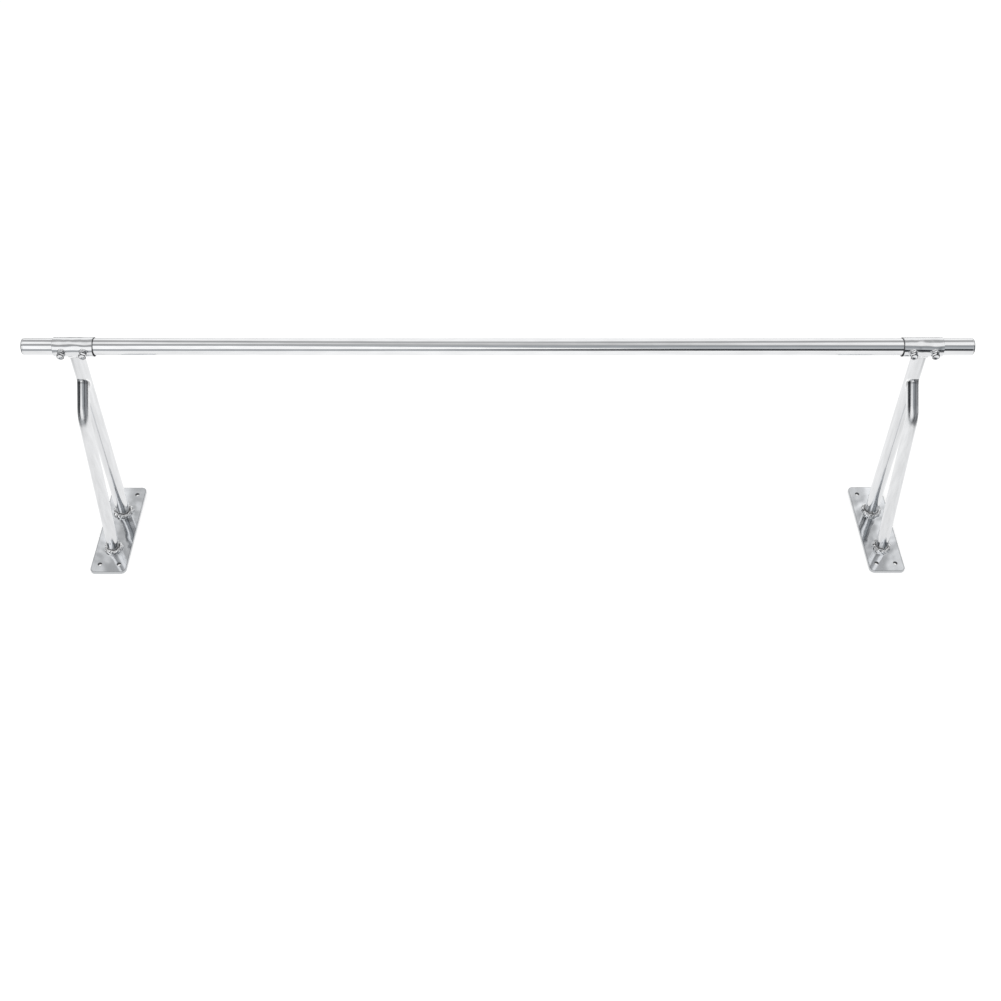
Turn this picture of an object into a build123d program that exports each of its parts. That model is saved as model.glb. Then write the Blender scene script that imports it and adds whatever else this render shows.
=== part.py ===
from build123d import *
import os
from math import cos, radians, sin, sqrt, tan

# Pull-up bar: a round grip bar held in two welded brackets.
# X runs along the bar, Z points out of the wall that the plates are screwed to, and Y runs along the plates.
# The origin is midway between the two plates, on the wall plane. Lengths are in millimetres.

# Grip bar
bar_length = 1850.0  # over both end caps
bar_d = 33.7
bar_wall = 2.6
bar_height = 470.0  # bar axis above the wall plane

# End caps
cap_head_t = 4.0
cap_rim_r = 2.8  # rounding of the head's rim
cap_plug_length = 20.0
cap_rib_t = 2.0
cap_rib_count = 3
cap_rib_h = 0.8  # how far a rib stands out of the plug
cap_clearance = 0.05  # between a rib and the tube's bore, on the radius

# Brackets
bar_overhang = 100.0  # from a sleeve's middle to the bar's end

# Base plates
plate_w = 75.0
plate_l = 250.0
plate_t = 6.0
plate_corner_r = 11.0
plate_edge_r = 0.8
hole_d = 9.0
hole_inset_x = 17.5  # hole centre to the long edge
hole_inset_y = 22.0  # hole centre to the short edge

# Arm tubes
arm_d = 29.0
arm_wall = 2.0
arm_y = 51.0  # arm axis, from the plate's middle

# Brace tubes
brace_d = 25.0
brace_wall = 2.0
brace_spread = 108.0  # foot of the brace, in front of the arm axis
bend_spread = 56.0  # corner of the bend, in front of the arm axis
bend_drop = 132.0  # corner of the bend, below the bar axis
brace_top_drop = 76.0  # where the brace axis meets the arm axis, below the bar axis
bend_r = 60.0

# Sleeves
sleeve_wall = 1.5
sleeve_length = 78.0
bore_clearance = 0.65  # round a centred bar, on the radius
seat_gap = 0.3  # left between the bar and the back of the bore

# Set bolts and their nuts
bolt_d = 8.0
bolt_pitch = 42.0  # from bolt to bolt along a sleeve
bolt_head_af = 13.0
bolt_head_t = 5.3
bolt_hole_clearance = 0.5  # in the sleeve wall, on the radius
thread_clearance = 0.05  # in the nut, on the radius
tip_gap = 0.3  # left between a bolt's tip and the bar
tip_chamfer = 0.8
head_gap = 1.0  # between the nut and the bolt's head
nut_af = 13.0
nut_t = 6.5
hex_chamfer_angle = 30.0
hex_face_share = 0.86  # round face left by the chamfer, as a share of the width across flats
bolt_turns = {"left_outer": 22.0, "left_inner": 36.0, "right_inner": 26.0, "right_outer": 33.0}  # degrees
nut_turn = 12.0

# Welds, by the length of their legs
foot_leg = 6.0
saddle_leg = 3.0
nut_leg = 1.5
weld_bulge = 0.18  # how far a weld's face swells, as a share of its leg

# Sizes that follow from those above
bracket_pitch = bar_length - 2 * bar_overhang  # from sleeve middle to sleeve middle
bar_r = bar_d / 2
arm_r = arm_d / 2
brace_r = brace_d / 2
bore_r = bar_r + bore_clearance
sleeve_r = bore_r + sleeve_wall
bar_y = arm_y + bore_clearance - seat_gap  # the bolts push the bar to the back of the bore
brace_foot_y = arm_y - brace_spread
bend_y = arm_y - bend_spread
bend_z = bar_height - bend_drop
brace_top_z = bar_height - brace_top_drop
brace_slope = (bend_y - brace_foot_y) / (bend_z - plate_t)
nut_face_y = arm_y - sleeve_r - nut_t
head_seat_y = nut_face_y - head_gap
tip_y = bar_y - bar_r - tip_gap


def x_plane(x):
    """Plane across the bar at x: its own X is along Y, its own Y is along Z, and its normal is along +X."""
    return Plane(origin=(x, 0, 0), x_dir=(0, 1, 0), z_dir=(1, 0, 0))


def front_plane(x, y, turn=0.0):
    """Plane at a set bolt: its normal points out to the front, along -Y."""
    turned = (cos(radians(turn)), 0, sin(radians(turn)))
    return Plane(origin=(x, y, bar_height), x_dir=turned, z_dir=(0, -1, 0))


def finish(piece, name):
    """Name a finished piece and write it out."""
    piece.label = name
    export_step(piece, f"parts/{name}.step")


# Grip bar

def make_bar_tube():
    tube_length = bar_length - 2 * cap_head_t
    with BuildPart() as tube:
        with BuildSketch(x_plane(0)):
            with Locations((bar_y, bar_height)):
                Circle(bar_r)
                Circle(bar_r - bar_wall, mode=Mode.SUBTRACT)
        extrude(amount=tube_length / 2, both=True)
    return tube.part


def make_end_cap(side):
    """Plug with ribs that grip the tube, and a head as wide as the bar."""
    rib_r = bar_r - bar_wall - cap_clearance
    plug_r = rib_r - cap_rib_h
    rib_step = cap_plug_length / (cap_rib_count + 1)
    inner_face = bar_length / 2 - cap_head_t
    outward = Plane(origin=(side * inner_face, bar_y, bar_height), x_dir=(0, 1, 0), z_dir=(side, 0, 0))
    with BuildPart() as cap:
        with BuildSketch(outward):
            Circle(bar_r)
        extrude(amount=cap_head_t)
        rim = cap.edges().filter_by(GeomType.CIRCLE).sort_by(Axis.X)[-1 if side > 0 else 0]
        fillet(rim, min(cap_rim_r, 0.9 * cap_head_t))
        with BuildSketch(outward):
            Circle(plug_r)
        extrude(amount=-cap_plug_length)
        for rib in range(cap_rib_count):
            with BuildSketch(outward.offset(-rib_step * (rib + 1) - cap_rib_t / 2)):
                Circle(rib_r)
            extrude(amount=cap_rib_t)
    return cap.part


# Bracket pieces

def make_base_plate(x):
    with BuildPart() as plate:
        with BuildSketch(Plane.XY):
            with Locations((x, 0)):
                RectangleRounded(plate_w, plate_l, plate_corner_r)
                with GridLocations(plate_w - 2 * hole_inset_x, plate_l - 2 * hole_inset_y, 2, 2):
                    Circle(hole_d / 2, mode=Mode.SUBTRACT)
        extrude(amount=plate_t)
        top_face = plate.faces().sort_by(Axis.Z)[-1]
        fillet(top_face.outer_wire().edges(), plate_edge_r)
    return plate.part


def make_arm_tube(x):
    """Straight tube from the plate, its end shaped to the underside of the sleeve."""
    with BuildPart() as arm:
        with BuildSketch(Plane.XY.offset(plate_t)):
            with Locations((x, arm_y)):
                Circle(arm_r)
                Circle(arm_r - arm_wall, mode=Mode.SUBTRACT)
        extrude(amount=bar_height - plate_t)
        with BuildSketch(x_plane(x)):
            with Locations((arm_y, bar_height)):
                Circle(sleeve_r)
        extrude(amount=arm_d, both=True, mode=Mode.SUBTRACT)
    return arm.part


def make_brace_tube(x):
    """Bent tube from the plate to the arm: straight run, one bend, short run, trimmed at both ends."""
    below = brace_d  # the run starts under the plate and is trimmed to its face
    start = (brace_foot_y - below * brace_slope, plate_t - below)
    with BuildPart() as brace:
        with BuildLine(x_plane(x)) as route:
            FilletPolyline(start, (bend_y, bend_z), (arm_y, brace_top_z), radius=bend_r)
        with BuildSketch(Plane(origin=route.line @ 0, z_dir=route.line % 0)):
            Circle(brace_r)
            Circle(brace_r - brace_wall, mode=Mode.SUBTRACT)
        sweep()
        split(bisect_by=Plane.XY.offset(plate_t), keep=Keep.TOP)
        with BuildSketch(Plane.XY.offset(plate_t)):
            with Locations((x, arm_y)):
                Circle(arm_r)
        extrude(amount=bar_height - plate_t, mode=Mode.SUBTRACT)
    return brace.part


def make_sleeve(x):
    """Short tube round the bar, with a hole in its front wall for each set bolt."""
    with BuildPart() as sleeve:
        with BuildSketch(x_plane(x)):
            with Locations((arm_y, bar_height)):
                Circle(sleeve_r)
                Circle(bore_r, mode=Mode.SUBTRACT)
        extrude(amount=sleeve_length / 2, both=True)
        with BuildSketch(front_plane(x, arm_y)):
            with GridLocations(bolt_pitch, 0, 2, 1):
                Circle(bolt_d / 2 + bolt_hole_clearance)
        extrude(amount=sleeve_r, mode=Mode.SUBTRACT)
    return sleeve.part


# Welds

def make_foot_weld(x, y, tube_r, slope):
    """Ring of weld between the plate and a tube that leans by slope towards the arm."""
    rings = (
        (0.0, foot_leg),
        (foot_leg / 2, foot_leg * (0.5 + weld_bulge)),
        (foot_leg, foot_leg * weld_bulge / 2),
    )
    with BuildPart() as weld:
        for height, spread in rings:
            with BuildSketch(Plane.XY.offset(plate_t + height)):
                with Locations((x, y + height * slope)):
                    Circle(tube_r + spread)
        loft(ruled=True)
        lean = Plane(origin=(x, y, plate_t), x_dir=(1, 0, 0), z_dir=(0, slope, 1))
        with BuildSketch(lean.offset(-foot_leg)):
            Circle(tube_r)
        extrude(amount=foot_leg * 3, mode=Mode.SUBTRACT)
    return weld.part


def make_saddle_weld(branch, branch_r, reach, main, main_r):
    """Collar of weld where a branch tube's end sits on the side of a main tube."""
    half_length = (branch_r + saddle_leg) * 3  # of the main tube, well past the branch
    with BuildPart() as weld:
        with BuildSketch(branch):
            Circle(branch_r + saddle_leg)
        extrude(amount=reach)
        with BuildSketch(main):
            Circle(main_r + saddle_leg)
        extrude(amount=half_length, both=True, mode=Mode.INTERSECT)
        with BuildSketch(main):
            Circle(main_r)
        extrude(amount=half_length, both=True, mode=Mode.SUBTRACT)
        with BuildSketch(branch):
            Circle(branch_r)
        extrude(amount=reach, mode=Mode.SUBTRACT)
    return weld.part


def make_sleeve_weld(x):
    start_z = bar_height - sleeve_r - saddle_leg * 2
    crest_z = bar_height - sqrt(max(sleeve_r**2 - arm_r**2, 0.0)) + saddle_leg / 2
    branch = Plane(origin=(x, arm_y, start_z), x_dir=(1, 0, 0), z_dir=(0, 0, 1))
    main = Plane(origin=(x, arm_y, bar_height), x_dir=(0, 1, 0), z_dir=(1, 0, 0))
    return make_saddle_weld(branch, arm_r, crest_z - start_z, main, sleeve_r)


def make_brace_arm_weld(x):
    run = sqrt(bend_spread**2 + (brace_top_z - bend_z) ** 2)
    toward_arm = (0, bend_spread / run, (brace_top_z - bend_z) / run)
    start = run - arm_r * run / bend_spread - brace_r - saddle_leg * 3
    origin = (x, bend_y + start * toward_arm[1], bend_z + start * toward_arm[2])
    branch = Plane(origin=origin, x_dir=(1, 0, 0), z_dir=toward_arm)
    main = Plane(origin=(x, arm_y, brace_top_z), x_dir=(1, 0, 0), z_dir=(0, 0, 1))
    return make_saddle_weld(branch, brace_r, run - start, main, arm_r)


def make_nut_weld(bolt_x):
    """Skirt of weld between the base of a nut and the round of the sleeve."""
    corner_r = nut_af / sqrt(3)
    skirt_r = corner_r + nut_leg
    skirt_depth = sqrt(max(sleeve_r**2 - skirt_r**2, 0.0))
    with BuildPart() as weld:
        with BuildSketch(front_plane(bolt_x, arm_y - skirt_depth)):
            Circle(skirt_r)
        with BuildSketch(front_plane(bolt_x, arm_y - sleeve_r - nut_leg)):
            Circle(corner_r)
        loft(ruled=True)
        with BuildSketch(x_plane(bolt_x)):
            with Locations((arm_y, bar_height)):
                Circle(sleeve_r)
        extrude(amount=skirt_r * 2, both=True, mode=Mode.SUBTRACT)
        with BuildSketch(front_plane(bolt_x, arm_y - sleeve_r, nut_turn)):
            RegularPolygon(nut_af / 2, 6, major_radius=False)
        extrude(amount=nut_t, mode=Mode.SUBTRACT)
        with BuildSketch(front_plane(bolt_x, arm_y)):
            Circle(bolt_d / 2 + bolt_hole_clearance)
        extrude(amount=sleeve_r + nut_t, mode=Mode.SUBTRACT)
    return weld.part


# Set bolts and nuts

def hex_blank(plane, across_flats, thickness):
    """Hexagon along the plane's normal, the corners of its outer face turned off by a shallow cone."""
    face_r = hex_face_share * across_flats / 2
    base_r = face_r + thickness / tan(radians(hex_chamfer_angle))
    with BuildPart() as blank:
        with BuildSketch(plane):
            RegularPolygon(across_flats / 2, 6, major_radius=False)
        extrude(amount=thickness)
        with BuildSketch(plane):
            Circle(base_r)
        with BuildSketch(plane.offset(thickness)):
            Circle(face_r)
        loft(ruled=True, mode=Mode.INTERSECT)
    return blank.part


def make_nut(bolt_x):
    blank = hex_blank(front_plane(bolt_x, arm_y - sleeve_r, nut_turn), nut_af, nut_t)
    with BuildPart() as nut:
        add(blank)
        with BuildSketch(front_plane(bolt_x, arm_y - sleeve_r)):
            Circle(bolt_d / 2 + thread_clearance)
        extrude(amount=nut_t, mode=Mode.SUBTRACT)
    return nut.part


def make_set_bolt(bolt_x, turn):
    """Hex head outside the nut, and a shank that reaches through the sleeve wall to the bar."""
    blank = hex_blank(front_plane(bolt_x, head_seat_y, turn), bolt_head_af, bolt_head_t)
    with BuildPart() as bolt:
        add(blank)
        with BuildSketch(front_plane(bolt_x, head_seat_y)):
            Circle(bolt_d / 2)
        extrude(amount=head_seat_y - tip_y)
        tip = bolt.faces().sort_by(Axis.Y)[-1]
        chamfer(tip.edges(), tip_chamfer)
    return bolt.part


# The assembly

os.makedirs("parts", exist_ok=True)

finish(make_bar_tube(), "bar_tube")
for name, side in (("left", -1), ("right", 1)):
    x = side * bracket_pitch / 2
    finish(make_end_cap(side), f"{name}_end_cap")
    finish(make_base_plate(x), f"{name}_base_plate")
    finish(make_arm_tube(x), f"{name}_arm_tube")
    finish(make_brace_tube(x), f"{name}_brace_tube")
    finish(make_sleeve(x), f"{name}_sleeve")
    finish(make_foot_weld(x, arm_y, arm_r, 0.0), f"{name}_arm_foot_weld")
    finish(make_foot_weld(x, brace_foot_y, brace_r, brace_slope), f"{name}_brace_foot_weld")
    finish(make_brace_arm_weld(x), f"{name}_brace_arm_weld")
    finish(make_sleeve_weld(x), f"{name}_sleeve_weld")
    for place, way in (("outer", side), ("inner", -side)):
        bolt_x = x + way * bolt_pitch / 2
        finish(make_nut(bolt_x), f"{name}_{place}_nut")
        finish(make_nut_weld(bolt_x), f"{name}_{place}_nut_weld")
        finish(make_set_bolt(bolt_x, bolt_turns[f"{name}_{place}"]), f"{name}_{place}_bolt")
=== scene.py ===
"""Finished surfaces of a pull-up bar: a polished grip bar held by set bolts in two welded brackets.

Lengths are in metres, in the frame of the construction model: X runs along the bar, Z out of the wall plane
and Y along the base plates.
"""

from math import atan2, cos, degrees, pi, radians, sin, tan

import bmesh
import bpy
import numpy as np
from bpy.props import FloatProperty, FloatVectorProperty, PointerProperty
from mathutils import Matrix, Vector


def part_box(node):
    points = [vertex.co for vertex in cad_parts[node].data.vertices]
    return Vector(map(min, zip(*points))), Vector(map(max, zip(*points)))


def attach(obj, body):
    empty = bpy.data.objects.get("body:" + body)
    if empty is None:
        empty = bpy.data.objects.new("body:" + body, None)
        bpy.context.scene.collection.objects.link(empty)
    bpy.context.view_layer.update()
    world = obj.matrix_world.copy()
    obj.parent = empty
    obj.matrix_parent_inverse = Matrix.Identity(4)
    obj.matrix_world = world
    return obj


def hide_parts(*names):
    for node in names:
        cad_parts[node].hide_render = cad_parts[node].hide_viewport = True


bl_info = {
    "name": "Pull-up bar",
    "version": (1, 0, 0),
    "blender": (4, 5, 0),
    "location": "View3D > Sidebar > Pull-up bar",
    "description": "Builds the finished surfaces of a pull-up bar and a plain studio round it",
    "category": "Object",
}

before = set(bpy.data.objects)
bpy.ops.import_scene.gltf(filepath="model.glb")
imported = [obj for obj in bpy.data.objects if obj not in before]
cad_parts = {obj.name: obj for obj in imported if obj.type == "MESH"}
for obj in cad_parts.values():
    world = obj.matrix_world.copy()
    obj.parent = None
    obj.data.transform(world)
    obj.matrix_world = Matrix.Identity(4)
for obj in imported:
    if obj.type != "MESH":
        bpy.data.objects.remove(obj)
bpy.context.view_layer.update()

SIDES = ("left", "right")
PLACES = ("outer", "inner")
X_AXIS = np.array((1.0, 0.0, 0.0))
Y_AXIS = np.array((0.0, 1.0, 0.0))
Z_AXIS = np.array((0.0, 0.0, 1.0))
WHITE = (1.0, 1.0, 1.0, 1.0)

ROUND_COLUMNS = 144  # columns round a tube
HEX_COLUMNS = 120  # columns round a hexagon, a multiple of six
DRILL_COLUMNS = 48  # columns round a drilled hole
FLOOR_COLUMNS = 96  # columns round the floor
BAR_ROWS = 80  # rows along the bar
SLEEVE_ROWS = 40  # rows along a sleeve
ARM_ROWS = 30  # rows along an arm
LOW_RUN_ROWS = 24  # rows along a brace from its foot to its bend
BEND_ROWS = 26  # rows along its bend, with the runs' last and first
HIGH_RUN_ROWS = 8  # rows along it from its bend to the arm
RIM_ROWS = 10  # rows round the rim of an end cap
DISH_ROWS = 7  # rows down the cone of a bolt head's dish
THREAD_ROWS = 10  # rows to one pitch of a thread
BEAD_ROWS = 13  # rows across a bead's face
UNDER_ROWS = 3  # rows that close a bead underneath
RIPPLE_COLUMNS = 12  # columns to one ripple of a bead
FEWEST_RIPPLES = 8  # ripples round the shortest bead
WANDER_WAVES = ((0.6, 3, 1.1), (0.4, 7, 0.3))  # share, times round a bead and phase of its legs' two waves
CLEAN_TOE = 0.3  # mark of a bead's first toe where it has no scale
CAP_RIBS = 3  # ribs round an end cap's plug
NUT_SEAM = 0.55  # radius of the seam round a nut, as a share of its width
DRILL_REACH = 1.5  # length of a drill, in radii of the sleeve
SHARP_ANGLE = radians(32)  # edges bent by more than this look crisp
MERGE_DISTANCE = 1e-7  # points closer than this are one
SENSOR_WIDTH = 36.0  # millimetres

BAR_GRAIN = (6.0, 900.0, 900.0)  # fineness of the polishing lines along X, Y and Z
TUBE_GRAIN = (900.0, 900.0, 6.0)
PLATE_GRAIN = (900.0, 14.0, 900.0)
TURNING_GRAIN = (500.0, 5200.0, 500.0)
BAR_WAVES = 0.00006  # height of the slow waves in the bar's surface
TUBE_WAVES = 0.0001
CAP_EDGE = 0.0012  # from the tube's end to where the painted shade on a cap begins
GRAIN_GLOSS = 0.05  # reach of the polishing lines in a surface's roughness
SMEAR_GLOSS = 0.06  # reach of the smears in it
LINE_DETAIL = 3.0  # detail of the noise for lines and smears
WAVE_DETAIL = 1.0  # detail of the noise for waves


def middle(node):
    """Centre of a node's box."""
    low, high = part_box(node)
    return (low + high) / 2


def extent(node):
    """Size of a node's box along X, Y and Z."""
    low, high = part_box(node)
    return high - low


# Settings

def length(name, description, default):
    """Setting for a length in metres."""
    return FloatProperty(name=name, description=description, default=default, min=0.0, precision=5,
                         subtype="DISTANCE", unit="LENGTH")


def angle(name, description, degrees_default):
    """Setting for an angle, with its default in degrees."""
    return FloatProperty(name=name, description=description, default=radians(degrees_default),
                         subtype="ANGLE", unit="ROTATION")


def share(name, description, default):
    """Setting for a share from 0 to 1."""
    return FloatProperty(name=name, description=description, default=default, min=0.0, max=1.0,
                         subtype="FACTOR")


def number(name, description, default):
    """Setting for a plain number."""
    return FloatProperty(name=name, description=description, default=default)


def colour(name, description, default):
    """Setting for a colour, as linear red, green and blue."""
    return FloatVectorProperty(name=name, description=description, default=default, size=3,
                               min=0.0, max=1.0, subtype="COLOR")


def spot(name, description, default):
    """Setting for a place in the frame."""
    return FloatVectorProperty(name=name, description=description, default=default, size=3,
                               subtype="XYZ", unit="LENGTH")


class GripBarSettings(bpy.types.PropertyGroup):
    """Sizes of the bar and its end caps"""

    wall: length("Wall", "Wall of the bar's tube", 0.0026)
    edge: length("Edge", "Break of the tube's cut edges", 0.0003)
    cap_head: length("Cap head", "Thickness of an end cap's head", 0.004)
    cap_rim: length("Cap rim", "Rounding of an end cap's rim", 0.0028)
    plug_gap: length("Plug gap", "Between the plug and the tube's bore", 0.00085)
    rib_height: length("Rib height", "How far a rib stands out of the plug", 0.0008)
    rib_width: length("Rib width", "Width of a rib along the plug", 0.002)


class BracketSettings(bpy.types.PropertyGroup):
    """Sizes of the arms, braces and sleeves"""

    arm_wall: length("Arm wall", "Wall of the arm tubes", 0.002)
    brace_wall: length("Brace wall", "Wall of the brace tubes", 0.002)
    bend_forward: length("Bend forward", "Corner of the brace's bend, in front of the arm axis", 0.056)
    bend_below: length("Bend below", "Corner of the brace's bend, below the bar axis", 0.132)
    top_below: length("Brace top", "Where the brace axis meets the arm axis, below the bar axis", 0.076)
    bend_radius: length("Bend radius", "Radius of the brace's bend, on its axis", 0.060)
    sleeve_wall: length("Sleeve wall", "Wall of the sleeves", 0.0015)
    sleeve_edge: length("Sleeve edge", "Break of the sleeves' cut edges", 0.0004)
    plate_corner: length("Plate corner", "Radius of the base plates' corners", 0.011)
    plate_hole: length("Plate hole", "Radius of the screw holes in the plates", 0.0045)
    plate_hole_across: length("Holes across", "Between the screw holes across a plate", 0.040)
    plate_hole_along: length("Holes along", "Between the screw holes along a plate", 0.206)
    bolt_hole: length("Bolt hole", "Radius of the set bolts' holes in the sleeves", 0.0045)


class WeldSettings(bpy.types.PropertyGroup):
    """Sizes of the weld beads"""

    foot_leg: length("Foot leg", "Leg of the beads round the tubes' feet", 0.0058)
    saddle_leg: length("Saddle leg", "Leg of the beads where a tube's end meets another's side", 0.0030)
    nut_leg: length("Nut leg", "Leg of the beads round the nuts", 0.0016)
    ripple_pitch: length("Ripple pitch", "From one ripple of a bead to the next", 0.0040)
    ripple_depth: share("Ripple depth", "Height of the ripples, as a share of the leg", 0.20)
    saddle_depth: share("Brace top ripples", "Height of the ripples at a brace's top, as a share of the leg",
                        0.06)
    foot_pitch: length("Foot pitch", "From one ripple of a foot's bead to the next", 0.0090)
    foot_depth: share("Foot ripples", "Height of the ripples of a foot's bead, as a share of the leg", 0.45)
    ripple_bow: share("Ripple bow", "How far a ripple bows along the bead, in pitches", 0.7)
    wander: share("Wander", "How far the leg varies along a bead, as a share", 0.22)
    full: number("Full section", "Power of a bulging bead's section: 1 is a quarter round", 1.0)
    hollow: number("Hollow section", "Power of a hollow bead's section: 2 is flat and more is hollow", 2.8)
    sink: length("Sink", "How far a bead reaches under the surfaces that it joins", 0.0006)


class FastenerSettings(bpy.types.PropertyGroup):
    """Sizes of the set bolts and nuts"""

    hex_width: length("Hexagon", "Width across flats of heads and nuts", 0.013)
    face_share: share("Face", "Round face left by the chamfer, as a share of the width", 0.86)
    chamfer: angle("Chamfer", "Angle of the hexagons' chamfer to their face", 30)
    head_height: length("Head height", "Thickness of a bolt's head", 0.0053)
    head_dish: length("Head dish", "Depth of the dish in a bolt's head", 0.0014)
    dish_floor: share("Dish floor", "Flat floor of the dish, as a share of the head's face", 0.30)
    dish_rim: share("Dish rim", "Rim of the dish, as a share of the head's face", 0.90)
    shank_radius: length("Shank radius", "Radius over the threads", 0.004)
    thread_pitch: length("Thread pitch", "Pitch of the set bolts' threads", 0.00125)
    thread_depth: length("Thread depth", "Depth of the set bolts' threads", 0.0007)
    tip_chamfer: length("Tip chamfer", "Chamfer on a bolt's tip", 0.0008)
    bore_radius: length("Nut bore", "Radius of a nut's bore", 0.00405)
    bore_chamfer: length("Bore chamfer", "Chamfer at the mouth of a nut's bore", 0.0006)
    nut_turn: angle("Nut turn", "Turn of the nuts on their axes", 12)
    left_outer_turn: angle("Left outer turn", "Turn of the left outer bolt", 22)
    left_inner_turn: angle("Left inner turn", "Turn of the left inner bolt", 36)
    right_outer_turn: angle("Right outer turn", "Turn of the right outer bolt", 33)
    right_inner_turn: angle("Right inner turn", "Turn of the right inner bolt", 26)


class FinishSettings(bpy.types.PropertyGroup):
    """Colours and gloss of the metals"""

    bar_colour: colour("Bar", "Polished steel of the grip bar", (0.89, 0.895, 0.905))
    tube_colour: colour("Tubes", "Polished steel of arms, braces and sleeves", (0.81, 0.817, 0.828))
    plate_colour: colour("Plates", "Polished steel of the base plates", (0.90, 0.92, 0.945))
    weld_colour: colour("Welds", "Bright weld metal", (0.86, 0.865, 0.872))
    fastener_colour: colour("Fasteners", "Plated steel of bolts and nuts", (0.84, 0.848, 0.86))
    bar_roughness: share("Bar roughness", "Roughness of the grip bar", 0.07)
    tube_roughness: share("Tube roughness", "Roughness of arms, braces and sleeves", 0.10)
    plate_roughness: share("Plate roughness", "Roughness of the base plates", 0.09)
    weld_roughness: share("Weld roughness", "Roughness of the weld beads", 0.12)
    fastener_roughness: share("Fastener roughness", "Roughness of bolts and nuts", 0.10)


class StageSettings(bpy.types.PropertyGroup):
    """Camera, floor and light"""

    camera_place: spot("Camera", "Where the camera stands", (-0.0213, -1.8979, 2.0535))
    camera_yaw: angle("Yaw", "Turn of the camera towards +X", 0.763)
    camera_tilt: angle("Tilt", "How far the camera looks down", 45.935)
    camera_roll: angle("Roll", "Turn of the camera about its view", 0.496)
    lens: FloatProperty(name="Lens", description="Focal length on a 36 mm sensor, in millimetres",
                        default=46.03, subtype="DISTANCE_CAMERA", unit="CAMERA")
    floor_radius: length("Floor radius", "Radius of the floor", 9.0)
    floor_glow: share("Floor glow", "Share of the floor's white that is its own, under its shadow", 0.5)
    sky_level: number("Sky level", "Light of the surroundings on matt surfaces", 1.0)
    key_power: FloatProperty(name="Key power", description="Power of the overhead lamp", default=45.0,
                             unit="POWER")
    key_size: length("Key size", "Side of the overhead lamp", 2.4)
    key_place: spot("Key place", "Where the overhead lamp hangs", (-0.5, -0.9, 3.2))
    key_aim: spot("Key aim", "Where the overhead lamp points", (0.0, 0.0, 0.2))


class PullUpBarSettings(bpy.types.PropertyGroup):
    """All settings of the pull-up bar"""

    grip: PointerProperty(type=GripBarSettings)
    bracket: PointerProperty(type=BracketSettings)
    weld: PointerProperty(type=WeldSettings)
    fastener: PointerProperty(type=FastenerSettings)
    finish: PointerProperty(type=FinishSettings)
    stage: PointerProperty(type=StageSettings)


# Node expressions

class Wire:
    """One output of a node. Arithmetic with wires and numbers adds Math nodes to the same tree."""

    def __init__(self, bench, socket):
        self.bench = bench
        self.socket = socket

    def math(self, operation, first, second=0.0):
        """Add a Math node on one or two values."""
        return self.bench.node("ShaderNodeMath", {"operation": operation}, {0: first, 1: second})

    def output(self, name):
        """Another output of the same node."""
        return Wire(self.bench, self.socket.node.outputs[name])

    def __add__(self, other):
        return self.math("ADD", self, other)

    def __sub__(self, other):
        return self.math("SUBTRACT", self, other)

    def __rsub__(self, other):
        return self.math("SUBTRACT", other, self)

    def __mul__(self, other):
        return self.math("MULTIPLY", self, other)

    def __truediv__(self, other):
        return self.math("DIVIDE", self, other)

    def __rtruediv__(self, other):
        return self.math("DIVIDE", other, self)

    def __pow__(self, power):
        return self.math("POWER", self, power)

    def __neg__(self):
        return self.math("MULTIPLY", self, -1.0)

    def __abs__(self):
        return self.math("ABSOLUTE", self)

    __radd__ = __add__
    __rmul__ = __mul__


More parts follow.
